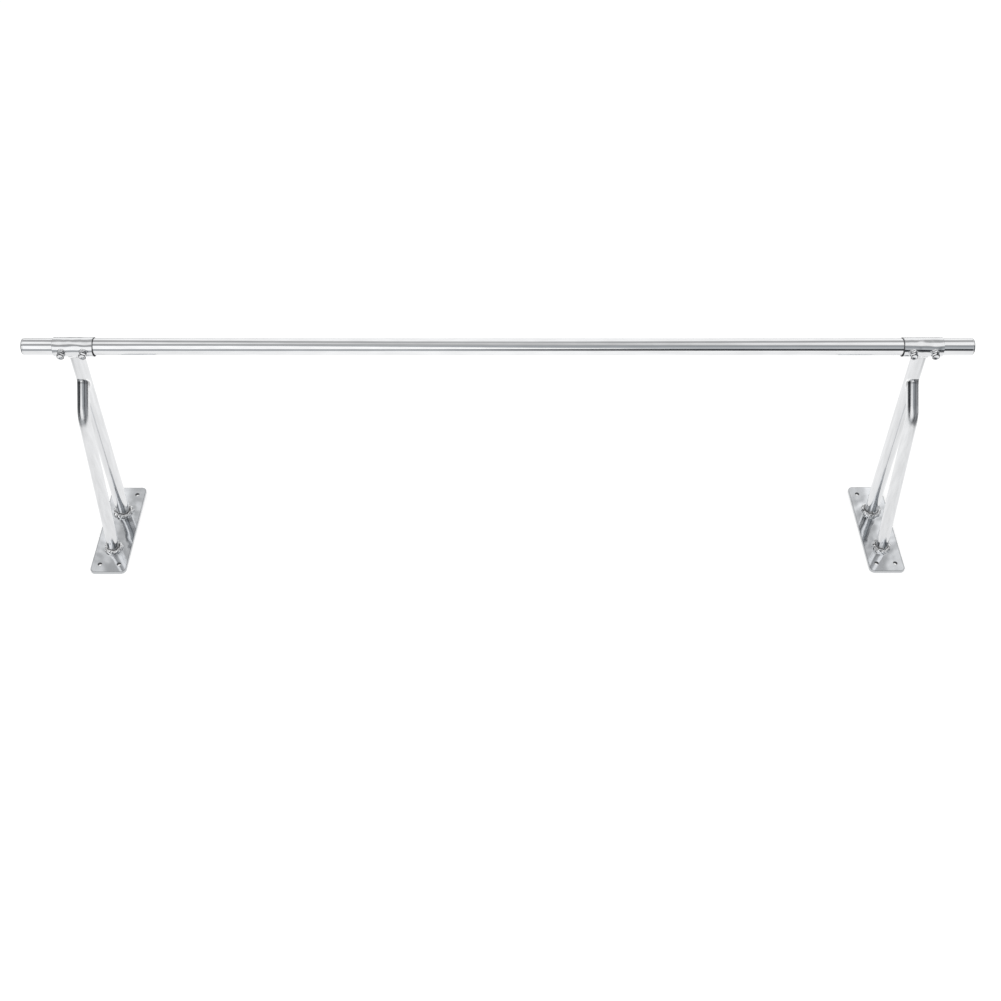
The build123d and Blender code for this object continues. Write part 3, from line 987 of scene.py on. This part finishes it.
def nut_points(seat, fastener, height):
    """Nut on its seat: hexagon with a chamfered face, and a bore chamfered at both mouths. Gives the points
    and the rows' edge marks."""
    axial, radius, edges = hex_rows(fastener, height)
    level = np.ones(HEX_COLUMNS)
    bore = fastener.bore_radius
    chamfer = fastener.bore_chamfer
    mouth = bore + chamfer
    for place, size in ((height, mouth), (height - chamfer, bore), (chamfer, bore), (0.0, mouth)):
        axial.append(place * level)
        radius.append(size * level)
        edges.append(1.0)
    points = turned(np.array(axial), np.array(radius), seat, -Y_AXIS, HEX_COLUMNS, fastener.nut_turn)
    return points, edges


def bolt_points(seat, shank_length, fastener, turn):
    """Bolt from the middle of its head to its tip. The head is a chamfered hexagon with a cone-shaped dish.
    The shank's radius follows a triangle wave of axial place and angle with flattened crests and roots,
    which is a screw thread. Gives the points and the rows' edge marks."""
    flank_slope = 1.5
    crest_flat = 0.25
    level = np.ones(HEX_COLUMNS)
    head_axial, head_radius, head_edges = hex_rows(fastener, fastener.head_height)
    dish_share = np.linspace(0.0, 1.0, DISH_ROWS)[:, None]
    dish_axial = fastener.head_height - (1 - dish_share) * fastener.head_dish * level
    dish_width = fastener.dish_floor + dish_share * (fastener.dish_rim - fastener.dish_floor)
    dish_radius = dish_width * head_radius[-1]
    around = once_round(HEX_COLUMNS, turn)
    steps = np.arange(0.0, shank_length - fastener.tip_chamfer, fastener.thread_pitch / THREAD_ROWS)[1:]
    wave = np.mod(steps[:, None] / fastener.thread_pitch + around / (2 * pi), 1.0)
    flank = np.clip(flank_slope * np.abs(2 * wave - 1) - crest_flat, 0.0, 1.0)
    threads = fastener.shank_radius - fastener.thread_depth * flank
    root_radius = fastener.shank_radius - fastener.thread_depth
    axial = np.concatenate((
        dish_axial[:1], dish_axial, head_axial[::-1], [0 * level],
        -steps[:, None] * level, [-shank_length * level, -shank_length * level]))
    radius = np.concatenate((
        [0 * level], dish_radius, head_radius[::-1], [root_radius * level],
        threads, [(fastener.shank_radius - fastener.tip_chamfer) * level, 0 * level]))
    edges = np.concatenate((np.zeros(DISH_ROWS + 1), head_edges[::-1], [1.0], np.zeros(len(steps) + 2)))
    return turned(axial, radius, seat, -Y_AXIS, HEX_COLUMNS, turn), edges


# Pieces

def settings_of(context):
    """The pull-up bar's settings."""
    return context.scene.pull_up_bar


class PULLUP_OT_grip_bar(bpy.types.Operator):
    """Make the grip bar's tube and its two end caps"""

    bl_idname = "pullup.grip_bar"
    bl_label = "Grip bar"

    def execute(self, context):
        grip = settings_of(context).grip
        finish = settings_of(context).finish
        centre = middle("bar_tube")
        outer = extent("bar_tube").z / 2
        half_length = extent("bar_tube").x / 2
        steel = polished_steel("polished_bar_steel", finish.bar_colour, finish.bar_roughness,
                               BAR_GRAIN, BAR_WAVES, rim=half_length + CAP_EDGE)
        axial, radius = tube_section(half_length, outer, outer - grip.wall, grip.edge, BAR_ROWS)
        tube = add_surface("grip_tube", turned(axial, radius, centre, X_AXIS, ROUND_COLUMNS))
        dress(tube, "bar", "bar_steel", steel, "bar_tube")
        for side, out in zip(SIDES, (-1.0, 1.0)):
            seat = centre + Vector((out * half_length, 0, 0))
            axial, radius = self.cap_profile(grip, outer, extent(f"{side}_end_cap").x - grip.cap_head)
            points = turned(axial, radius, seat, out * X_AXIS, ROUND_COLUMNS)
            cap = add_surface(f"{side}_cap", points, poles=True)
            dress(cap, "bar", "cap_metal", steel, f"{side}_end_cap")
        return {"FINISHED"}

    def cap_profile(self, grip, outer, plug_length):
        """Half section of an end cap: flat face, rim rounded by an arc, side, seat on the tube, and a plug
        whose radius steps out at its ribs."""
        arc = np.linspace(pi / 2, 0.0, RIM_ROWS)
        flat = outer - grip.cap_rim
        plug = outer - grip.wall - grip.plug_gap
        crest = plug + grip.rib_height
        step = plug_length / (CAP_RIBS + 1)
        ribs_axial = []
        ribs_radius = []
        for rib in range(1, CAP_RIBS + 1):
            start = -step * rib + grip.rib_width / 2
            end = -step * rib - grip.rib_width / 2
            ribs_axial += [start, start, end, end]
            ribs_radius += [plug, crest, crest, plug]
        axial = np.concatenate((
            [grip.cap_head, grip.cap_head], grip.cap_head - grip.cap_rim + grip.cap_rim * np.sin(arc),
            [grip.edge, 0.0, 0.0], ribs_axial, [-plug_length, -plug_length]))
        radius = np.concatenate((
            [0.0, flat / 2], flat + grip.cap_rim * np.cos(arc),
            [outer, outer - grip.edge, plug], ribs_radius, [plug, 0.0]))
        return axial, radius


class PULLUP_OT_sleeves(bpy.types.Operator):
    """Make the sleeves that the bar passes through"""

    bl_idname = "pullup.sleeves"
    bl_label = "Sleeves"

    def execute(self, context):
        settings = settings_of(context)
        steel = sleeve_steel(settings.finish, Bracket("left", settings.bracket),
                             [middle(f"left_{place}_bolt").x for place in PLACES])
        for side in SIDES:
            bracket = Bracket(side, settings.bracket)
            inner = bracket.sleeve_radius - settings.bracket.sleeve_wall
            axial, radius = tube_section(bracket.sleeve_half, bracket.sleeve_radius, inner,
                                         settings.bracket.sleeve_edge, SLEEVE_ROWS)
            points = turned(axial, radius, bracket.sleeve_axis, X_AXIS, ROUND_COLUMNS)
            sleeve = add_surface(f"{side}_clamp_sleeve", points)
            for place in PLACES:
                self.drill(sleeve, bracket, middle(f"{side}_{place}_bolt").x, settings.bracket.bolt_hole)
            smooth(sleeve.data)
            dress(sleeve, f"{side}_bracket", "tube_steel", steel, f"{side}_sleeve")
        return {"FINISHED"}

    def drill(self, sleeve, bracket, bolt_x, radius):
        """Cut a set bolt's hole through the front wall, with a cylinder from the bar's axis outwards."""
        depth = bracket.sleeve_radius * DRILL_REACH
        axial = np.array((0.0, 0.0, depth, depth))
        reach = np.array((0.0, radius, radius, 0.0))
        axis_point = np.array((bolt_x, bracket.arm_y, bracket.bar_z))
        drill = add_surface("drill", turned(axial, reach, axis_point, -Y_AXIS, DRILL_COLUMNS), poles=True)
        cut = sleeve.modifiers.new("hole", "BOOLEAN")
        cut.operation = "DIFFERENCE"
        cut.solver = "EXACT"
        cut.object = drill
        bpy.context.view_layer.update()
        drilled = sleeve.evaluated_get(bpy.context.evaluated_depsgraph_get())
        cut_mesh = bpy.data.meshes.new_from_object(drilled)
        sleeve.modifiers.clear()
        sleeve.data = cut_mesh
        bpy.data.objects.remove(drill)


class PULLUP_OT_tubes(bpy.types.Operator):
    """Make the straight arms and the bent braces"""

    bl_idname = "pullup.tubes"
    bl_label = "Arms and braces"

    def execute(self, context):
        settings = settings_of(context)
        finish = settings.finish
        steel = polished_steel("polished_tube_steel", finish.tube_colour, finish.tube_roughness,
                               TUBE_GRAIN, TUBE_WAVES, Bracket("left", settings.bracket))
        for side in SIDES:
            bracket = Bracket(side, settings.bracket)
            tubes = {
                "arm": (bracket.arm_rows, bracket.arm_radius, settings.bracket.arm_wall),
                "brace": (bracket.brace_rows, bracket.brace_radius, settings.bracket.brace_wall),
            }
            for tube, (rows_at, radius, wall) in tubes.items():
                piece = add_surface(f"{side}_{tube}", wall_of(rows_at, radius, wall, ROUND_COLUMNS))
                dress(piece, f"{side}_bracket", "tube_steel", steel, f"{side}_{tube}_tube")
        return {"FINISHED"}


class PULLUP_OT_plates(bpy.types.Operator):
    """Finish the two base plates"""

    bl_idname = "pullup.plates"
    bl_label = "Base plates"

    def execute(self, context):
        settings = settings_of(context)
        steel = plate_steel(settings.finish, Bracket("left", settings.bracket))
        for side in SIDES:
            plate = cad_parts[f"{side}_base_plate"]
            plate.data.materials.clear()
            plate.data.materials.append(steel)
        return {"FINISHED"}


class PULLUP_OT_welds(bpy.types.Operator):
    """Make the weld beads at the feet, the brace's top, the sleeve and the nuts"""

    bl_idname = "pullup.welds"
    bl_label = "Weld beads"

    def execute(self, context):
        settings = settings_of(context)
        weld = settings.weld
        metal = weld_metal(settings.finish)
        seams = {
            "arm_foot": (arm_foot_bead, 0.0), "brace_foot": (brace_foot_bead, 0.0),
            "sleeve": (sleeve_bead, CLEAN_TOE), "brace_arm": (brace_arm_bead, CLEAN_TOE),
        }
        for side in SIDES:
            bracket = Bracket(side, settings.bracket)
            for seam, (shape, first) in seams.items():
                piece = add_bead(f"{side}_{seam}_bead", shape(bracket, weld), first)
                dress(piece, f"{side}_bracket", "weld_metal", metal, f"{side}_{seam}_weld")
            for place in PLACES:
                bolt_x = middle(f"{side}_{place}_nut").x
                points = nut_bead(bracket, bolt_x, settings.fastener.hex_width, weld)
                piece = add_bead(f"{side}_{place}_nut_bead", points)
                dress(piece, f"{side}_bracket", "weld_metal", metal, f"{side}_{place}_nut_weld")
        return {"FINISHED"}


class PULLUP_OT_fasteners(bpy.types.Operator):
    """Make the set bolts and the nuts that they run in"""

    bl_idname = "pullup.fasteners"
    bl_label = "Bolts and nuts"

    def execute(self, context):
        settings = settings_of(context)
        fastener = settings.fastener
        steel = plated_steel(settings.finish)
        for side in SIDES:
            for place in PLACES:
                self.make_nut(side, place, fastener, steel)
                self.make_bolt(side, place, fastener, steel)
        return {"FINISHED"}

    def make_nut(self, side, place, fastener, steel):
        """Nut with its seat at the back of its node's box."""
        node = f"{side}_{place}_nut"
        centre = middle(node)
        seat = (centre.x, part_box(node)[1].y, centre.z)
        points, edges = nut_points(seat, fastener, extent(node).y)
        nut = add_surface(f"{side}_{place}_hex_nut", points, marks={"edge": edges})
        dress(nut, f"{side}_bracket", "fastener_steel", steel, node)

    def make_bolt(self, side, place, fastener, steel):
        """Bolt on its nut's axis, with its head at the front of its node's box."""
        node = f"{side}_{place}_bolt"
        centre = middle(f"{side}_{place}_nut")
        seat = (centre.x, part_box(node)[0].y + fastener.head_height, centre.z)
        turn = getattr(fastener, f"{side}_{place}_turn")
        points, edges = bolt_points(seat, extent(node).y - fastener.head_height, fastener, turn)
        bolt = add_surface(f"{side}_{place}_hex_bolt", points, poles=True, marks={"edge": edges})
        dress(bolt, f"{side}_{place}_set_bolt", "fastener_steel", steel, node)


# Stage. A band holds its centre, its half width and how softly it ends.

class PULLUP_OT_stage(bpy.types.Operator):
    """Make the floor, the light and the camera"""

    bl_idname = "pullup.stage"
    bl_label = "Stage"

    def execute(self, context):
        stage = settings_of(context).stage
        context.scene.view_settings.view_transform = "Standard"
        self.make_floor(stage)
        self.make_surroundings(context, stage)
        self.make_key_lamp(context, stage)
        self.make_camera(context, stage)
        return {"FINISHED"}

    def make_floor(self, stage):
        """Flat disc just under the plates: radius * (cos t * X + sin t * Y), with t once round."""
        top = -0.0002
        underside = -0.0202
        reach = np.array((0.0, stage.floor_radius, stage.floor_radius, 0.0))
        level = np.array((top, top, underside, underside))
        around = once_round(FLOOR_COLUMNS)
        spokes = np.cos(around)[:, None] * X_AXIS + np.sin(around)[:, None] * Y_AXIS
        points = reach[:, None, None] * spokes + level[:, None, None] * Z_AXIS
        floor = add_surface("floor", points, poles=True)
        floor.data.materials.append(self.floor_finish(stage))

    def floor_finish(self, stage):
        """White paper. Seen by the camera, a share of its white is its own light, so that it keeps its
        shadow, and under the plates' holes all of it is. In the metal it is a sheet with the room's darker
        floor round it."""
        matt_white = 0.97
        glow_in_metal = 0.9
        plate_soft = 0.002
        material, bench = new_bench("white_floor")
        path = bench.node("ShaderNodeLightPath", output="Is Camera Ray")
        in_metal = path.output("Is Glossy Ray")
        place = bench.parts(bench.object_place())
        off_paper, room_floor = self.floor_in_metal(bench, place)
        shown = bench.mix_colour(off_paper * in_metal, WHITE, room_floor)
        glow = bench.node("ShaderNodeEmission", {}, {"Color": shown})
        paper = bench.node("ShaderNodeBsdfDiffuse", {}, {"Color": opaque(WHITE, matt_white)})
        plate = middle("left_base_plate")
        half = extent("left_base_plate") / 2
        under_plate = (bench.band(abs(place), abs(plate.x), half.x, plate_soft)
                       * bench.band(place.output("Y"), 0.0, half.y, plate_soft))
        own_light = under_plate * (1 - stage.floor_glow) + stage.floor_glow
        seen = path + path.output("Is Transmission Ray")
        glowing = seen * own_light + in_metal * glow_in_metal
        surface = bench.node("ShaderNodeMixShader", {}, {0: glowing, 1: paper, 2: glow})
        bench.node("ShaderNodeOutputMaterial", {}, {"Surface": surface})
        return material

    def floor_in_metal(self, bench, place):
        """Where a reflection falls off the paper, and the colour of the room's floor there. The paper ends
        softly at both sides and along a slanting line in front, and has a faint painted shadow under the
        bar's ends. Behind the bar's right end, past the paper, the floor is white again."""
        side_fade = (1.66, 1.26)
        front_x = (-0.8, 0.6)
        front_y = (-1.2, -1.62)
        front_fade = (-0.2, 0.2)
        ends_fade = (0.3, 0.7)
        ends_band = (-0.4, 0.4, 0.1)
        bar_shadow_depth = 0.10
        white_again_x = (1.9, 2.1)
        white_again_y = (0.0, 0.2)
        lighter_x = (0.6, -0.4)
        lighter_y = (-0.6, -1.0)
        dark = (0.05, 0.055, 0.062, 1.0)
        lighter = (0.36, 0.375, 0.39, 1.0)
        back = place.output("Y")
        front_edge = bench.line(place, front_x, front_y)
        paper = bench.soft_step(back - front_edge, *front_fade) * bench.soft_step(abs(place), *side_fade)
        # Painted shadow of the bar's ends on the paper, seen only in the metal.
        bar_end_shadow = bench.soft_step(abs(place), *ends_fade) * bench.band(back, *ends_band)
        white_again = bench.soft_step(place, *white_again_x) * bench.soft_step(back, *white_again_y)
        off_paper = (1 - paper * (1 - bar_end_shadow * bar_shadow_depth)) * (1 - white_again)
        front_left = bench.soft_step(back, *lighter_y) * bench.soft_step(place, *lighter_x)
        return off_paper, bench.mix_colour(front_left, dark, lighter)

    def make_surroundings(self, context, stage):
        """White room. Only the metal's reflections show the darker gaps between its lights. A gap is placed
        by two measures of a direction: its part towards the right, from -1 to 1, and its angle up from the
        front and over to the back, in degrees."""
        gap_colour = (0.0, 0.004, 0.010, 1.0)
        screen_top = (58.5, 56.5)
        screen_ahead = (0.0, 0.02)
        world = bpy.data.worlds.new("white_room")
        context.scene.world = world
        bench = Bench(world)
        path = bench.node("ShaderNodeLightPath", output="Is Camera Ray")
        in_metal = path.output("Is Glossy Ray")
        toward = bench.parts(bench.node("ShaderNodeTexCoord", output="Generated"))
        right = toward.output("X")
        ahead = -toward.output("Y")
        up = toward.output("Z")
        over = up.math("ARCTAN2", up, ahead) * degrees(1.0)
        light = ((1 - self.gap_behind(bench, right, over))
                 * (1 - self.gap_in_front(bench, right, over))
                 * (1 - self.dim_overhead(bench, right, over))
                 * (1 - self.dark_sides(bench, right, up, over)))
        above_screen = bench.mix_colour(light, gap_colour, WHITE)
        on_screen = bench.soft_step(over, *screen_top) * bench.soft_step(ahead, *screen_ahead)
        room = bench.mix_colour(on_screen, above_screen, self.screen_colour(bench, right, ahead, up))
        shown = bench.mix_colour(in_metal, WHITE, room)
        seen = path + in_metal + path.output("Is Transmission Ray")
        backdrop = bench.node("ShaderNodeBackground", {}, {
            "Color": bench.mix_colour(seen, opaque(WHITE, stage.sky_level), shown)})
        bench.node("ShaderNodeOutputWorld", {}, {"Surface": backdrop})

    def gap_behind(self, bench, right, over):
        """Gap a little behind overhead, which widens and moves to the back with the square of the distance to
        either side, and ends there."""
        middle_fade = (0.42, 0.34)
        depth = 0.40
        depth_aside = 0.20
        aside_fade = (0.0, 0.2)
        centre = 104.0
        centre_aside = 175.0
        slant = 6.0
        half_width = 13.0
        widening = 45.0
        soft = 8.0
        aside = right * right
        gap_depth = ((depth + bench.soft_step(abs(right), *aside_fade) * depth_aside)
                     * bench.soft_step(abs(right), *middle_fade))
        gap_centre = centre + aside * centre_aside - right * slant
        return bench.band(over, gap_centre, half_width + aside * widening, soft) * gap_depth

    def gap_in_front(self, bench, right, over):
        """Gap between the top of the screen and the overhead light. Its upper edge slopes down to the right,
        and it is darker on the left."""
        top = 70.0
        slope = 20.0
        slope_ends = {"Min": -0.35, "Max": 0.6}
        soft = 5.0
        depth = 0.52
        depth_left = 0.11
        left_fade = (0.0, -0.3)
        edge = top - bench.node("ShaderNodeClamp", {}, {"Value": right, **slope_ends}) * slope
        gap_depth = depth + bench.soft_step(right, *left_fade) * depth_left
        return bench.soft_step(over, edge + soft, edge - soft) * gap_depth

    def dim_overhead(self, bench, right, over):
        """Dimmer patch straight overhead, in the middle."""
        patch = (85.0, 17.0, 7.0)
        middle_fade = (0.33, 0.05)
        depth = 0.36
        return bench.band(over, *patch) * bench.soft_step(abs(right), *middle_fade) * depth

    def dark_sides(self, bench, right, up, over):
        """Dark walls on either side, lit far out by a light overhead and one low at the back."""
        side_fade = (0.45, 0.58)
        wall_top = (0.78, 0.66)
        depth = 0.88
        lights_start = (0.80, 0.88)
        lights_end = (0.986, 0.974)
        overhead_light = (99.0, 22.0, 5.0)
        back_light = (142.0, 154.0)
        far_out = bench.soft_step(abs(right), *lights_start) * bench.soft_step(abs(right), *lights_end)
        far_lights = bench.band(over, *overhead_light) + bench.soft_step(over, *back_light)
        walls = bench.soft_step(abs(right), *side_fade) * bench.soft_step(up, *wall_top)
        return walls * (1 - far_out * far_lights) * depth

    def screen_colour(self, bench, right, ahead, up):
        """Screen in front, by the place across and above the floor where a reflection meets it. It is lit
        below a line that slopes down to the right, grey above it, dark along its foot and far out to both
        sides."""
        away = 1.8
        spread = 2.85
        bar_height = 0.47
        nearest = 0.02
        right_fade = (-0.5, 0.7)
        edge_across = (-1.1, 0.8)
        edge_height = (2.60, 0.72)
        edge_fade = (0.14, -0.14)
        low_fade = (2.0, 1.3)
        foot_fade = (0.64, 0.78)
        foot_rise = 0.12
        far_right_fade = (0.36, 0.46)
        far_right_lighter = (0.60, 0.70)
        far_left_fade = (-0.68, -0.78)
        high_left = (0.44, 0.456, 0.473, 1.0)
        high_right = (0.33, 0.347, 0.363, 1.0)
        grey_right = (0.506, 0.522, 0.539, 1.0)
        foot_left = (0.396, 0.412, 0.429, 1.0)
        foot_right = (0.020, 0.023, 0.028, 1.0)
        full_light = (1.1, 1.1, 1.1, 1.0)
        right_dark = (0.09, 0.096, 0.104, 1.0)
        right_grey = (0.30, 0.31, 0.325, 1.0)
        left_dark = (0.04, 0.042, 0.046, 1.0)
        reach = away / bench.most(ahead, nearest)
        across = right * (reach + spread)
        height = up * reach + bar_height
        to_right = bench.soft_step(across, *right_fade)
        lit = bench.soft_step(height - bench.line(across, edge_across, edge_height), *edge_fade)
        low_right = bench.soft_step(height, *low_fade) * to_right
        above_foot = bench.soft_step(height - to_right * foot_rise, *foot_fade)
        high = bench.mix_colour(to_right, high_left, high_right)
        grey = bench.mix_colour(low_right, high, grey_right)
        foot = bench.mix_colour(to_right, foot_left, foot_right)
        screen = bench.mix_colour(above_foot, foot, bench.mix_colour(lit, grey, full_light))
        far_right = bench.mix_colour(bench.soft_step(right, *far_right_lighter), right_dark, right_grey)
        with_right = bench.mix_colour(bench.soft_step(right, *far_right_fade), screen, far_right)
        return bench.mix_colour(bench.soft_step(right, *far_left_fade), with_right, left_dark)

    def make_key_lamp(self, context, stage):
        """Large soft lamp overhead, a little to the front, that the metal itself doesn't show."""
        data = bpy.data.lights.new("key_lamp", "AREA")
        data.energy = stage.key_power
        data.size = stage.key_size
        lamp = bpy.data.objects.new("key_lamp", data)
        lamp.location = stage.key_place
        aim = Vector(stage.key_aim) - lamp.location
        lamp.rotation_euler = aim.to_track_quat("-Z", "Y").to_euler()
        lamp.visible_glossy = False
        context.scene.collection.objects.link(lamp)

    def make_camera(self, context, stage):
        """Camera at the photograph's viewing angle: turned by yaw, tilted down and rolled about its view."""
        data = bpy.data.cameras.new("camera")
        data.sensor_fit = "HORIZONTAL"
        data.sensor_width = SENSOR_WIDTH
        data.lens = stage.lens
        yaw = stage.camera_yaw
        flat = cos(stage.camera_tilt)
        forward = Vector((sin(yaw) * flat, cos(yaw) * flat, -sin(stage.camera_tilt)))
        level = Vector((cos(yaw), -sin(yaw), 0.0))
        upright = level.cross(forward)
        right = level * cos(stage.camera_roll) + upright * sin(stage.camera_roll)
        up = upright * cos(stage.camera_roll) - level * sin(stage.camera_roll)
        turn = Matrix((right, up, -forward)).transposed().to_4x4()
        camera = bpy.data.objects.new("camera", data)
        camera.matrix_world = Matrix.Translation(stage.camera_place) @ turn
        context.scene.collection.objects.link(camera)
        context.scene.camera = camera


PIECE_OPERATORS = (PULLUP_OT_grip_bar, PULLUP_OT_sleeves, PULLUP_OT_tubes, PULLUP_OT_plates, PULLUP_OT_welds,
                   PULLUP_OT_fasteners, PULLUP_OT_stage)


class PULLUP_PT_pieces(bpy.types.Panel):
    """Lists the pieces of the pull-up bar"""

    bl_idname = "PULLUP_PT_pieces"
    bl_label = "Pull-up bar"
    bl_space_type = "VIEW_3D"
    bl_region_type = "UI"
    bl_category = "Pull-up bar"

    def draw(self, context):
        """One button for each piece or group of like pieces."""
        for operator in PIECE_OPERATORS:
            self.layout.operator(operator.bl_idname)


CLASSES = (GripBarSettings, BracketSettings, WeldSettings, FastenerSettings, FinishSettings, StageSettings,
           PullUpBarSettings, *PIECE_OPERATORS, PULLUP_PT_pieces)


def register():
    """Make the classes known to Blender and give the scene its settings."""
    for item in CLASSES:
        bpy.utils.register_class(item)
    bpy.types.Scene.pull_up_bar = PointerProperty(type=PullUpBarSettings)


def unregister():
    """Take back what register did, in the opposite order."""
    del bpy.types.Scene.pull_up_bar
    for item in reversed(CLASSES):
        bpy.utils.unregister_class(item)


def main():
    register()
    bpy.ops.pullup.grip_bar()
    bpy.ops.pullup.sleeves()
    bpy.ops.pullup.tubes()
    bpy.ops.pullup.plates()
    bpy.ops.pullup.welds()
    bpy.ops.pullup.fasteners()
    bpy.ops.pullup.stage()


if __name__ == "__main__":
    main()
